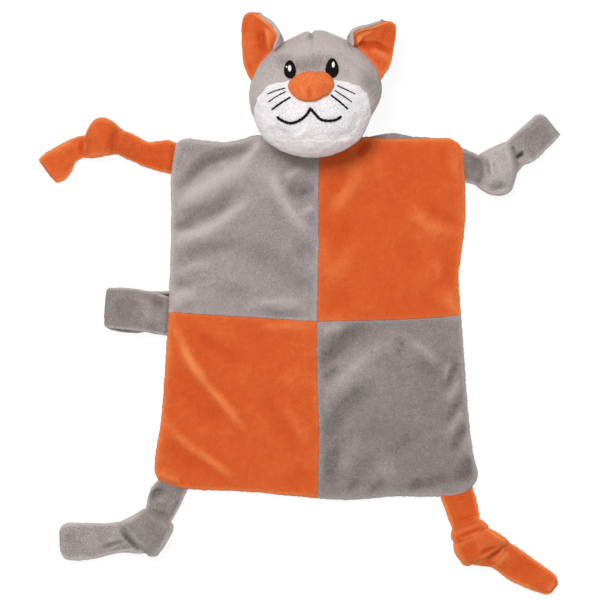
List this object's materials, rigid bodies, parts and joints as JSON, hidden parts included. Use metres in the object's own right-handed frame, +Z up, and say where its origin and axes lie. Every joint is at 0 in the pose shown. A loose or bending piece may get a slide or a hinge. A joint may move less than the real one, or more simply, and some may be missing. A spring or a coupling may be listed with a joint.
{
  "type": "comfort blanket lovey",
  "caption": "Flat plush comfort blanket of sewn panels with a stuffed cat head, knotted corner limbs and a side carry loop.",
  "frame": {"origin": "centre of the overall box at the surface the toy lies on", "axes": "+Y from the blanket towards the head, +X to the right as the face is seen, +Z up out of the face"},
  "size_m": [0.3152, 0.3499, 0.062],
  "materials": {
    "grey_plush": "short pile plush, warm grey",
    "orange_plush": "short pile plush, orange",
    "white_plush": "short pile plush, white",
    "stuffing_fibre": "loose polyester fibre",
    "black_thread": "black embroidery thread, satin stitch",
    "white_thread": "white embroidery thread, satin stitch"
  },
  "bodies": {
    "blanket": {"panel_upper_left": "grey_plush", "panel_upper_right": "orange_plush", "panel_lower_left": "orange_plush", "panel_lower_right": "grey_plush", "back_panel": "grey_plush"},
    "head": {"face_upper": "grey_plush", "muzzle": "white_plush", "chin": "white_plush", "head_back": "grey_plush", "head_stuffing": "stuffing_fibre", "nose_cover": "orange_plush", "nose_filling": "stuffing_fibre", "eye_left": "black_thread", "eye_right": "black_thread", "eye_left_highlight": "white_thread", "eye_left_glint": "white_thread", "eye_right_highlight": "white_thread", "mouth": "black_thread", "whisker_left_top": "black_thread", "whisker_left_middle": "black_thread", "whisker_left_bottom": "black_thread", "whisker_right_top": "black_thread", "whisker_right_middle": "black_thread", "whisker_right_bottom": "black_thread"},
    "ear_left": {"ear_left_front": "orange_plush", "ear_left_back": "grey_plush"},
    "ear_right": {"ear_right_front": "orange_plush", "ear_right_back": "grey_plush"},
    "arm_left": {"arm_left": "orange_plush"},
    "arm_left_tail": {"arm_left_tail": "orange_plush"},
    "arm_right": {"arm_right": "grey_plush"},
    "arm_right_tail": {"arm_right_tail": "grey_plush"},
    "leg_left": {"leg_left": "grey_plush"},
    "leg_left_tail": {"leg_left_tail": "grey_plush"},
    "leg_right": {"leg_right": "orange_plush"},
    "leg_right_tail": {"leg_right_tail": "orange_plush"},
    "carry_loop": {"carry_loop": "grey_plush"}
  },
  "joints": [
    {"name": "head_nod", "type": "hinge", "parent": "blanket", "child": "head", "pos_m": [0.0109, 0.0964, 0.00285], "axis": [1, 0, 0], "range_deg": [-90, 30]},
    {"name": "ear_left_fold", "type": "hinge", "parent": "head", "child": "ear_left", "pos_m": [-0.02287, 0.14893, 0.0278], "axis": [0.5754, 0.8179, 0], "range_deg": [-35, 35], "stiffness_Nm_per_rad": 0.01},
    {"name": "ear_right_fold", "type": "hinge", "parent": "head", "child": "ear_right", "pos_m": [0.04283, 0.14982, 0.0278], "axis": [0.5881, -0.8088, 0], "range_deg": [-35, 35], "stiffness_Nm_per_rad": 0.01},
    {"name": "arm_left_flop", "type": "hinge", "parent": "blanket", "child": "arm_left", "pos_m": [-0.07855, 0.08746, 0.00285], "axis": [0.15, 0.9887, 0], "range_deg": [-85, 85]},
    {"name": "arm_left_tail_flop", "type": "hinge", "parent": "arm_left", "child": "arm_left_tail", "pos_m": [-0.1312, 0.09405, 0.0051], "axis": [-0.0739, 0.9973, 0], "range_deg": [-60, 60]},
    {"name": "arm_right_flop", "type": "hinge", "parent": "blanket", "child": "arm_right", "pos_m": [0.1033, 0.08174, 0.00285], "axis": [0.0424, -0.9991, 0], "range_deg": [-85, 85]},
    {"name": "arm_right_tail_flop", "type": "hinge", "parent": "arm_right", "child": "arm_right_tail", "pos_m": [0.13137, 0.08701, 0.0051], "axis": [0.2099, -0.9777, 0], "range_deg": [-60, 60]},
    {"name": "leg_left_flop", "type": "hinge", "parent": "blanket", "child": "leg_left", "pos_m": [-0.07581, -0.11282, 0.00285], "axis": [-0.9628, 0.2701, 0], "range_deg": [-85, 85]},
    {"name": "leg_left_tail_flop", "type": "hinge", "parent": "leg_left", "child": "leg_left_tail", "pos_m": [-0.10242, -0.14316, 0.0051], "axis": [-0.6277, 0.7785, 0], "range_deg": [-60, 60]},
    {"name": "leg_right_flop", "type": "hinge", "parent": "blanket", "child": "leg_right", "pos_m": [0.0954, -0.11833, 0.00285], "axis": [-0.973, -0.2308, 0], "range_deg": [-85, 85]},
    {"name": "leg_right_tail_flop", "type": "hinge", "parent": "leg_right", "child": "leg_right_tail", "pos_m": [0.12344, -0.1523, 0.0051], "axis": [-0.5501, -0.8351, 0], "range_deg": [-60, 60]},
    {"name": "carry_loop_flop", "type": "hinge", "parent": "blanket", "child": "carry_loop", "pos_m": [-0.08161, -0.00598, 0.00285], "axis": [0.0592, 0.9982, 0], "range_deg": [-85, 85]}
  ]
}
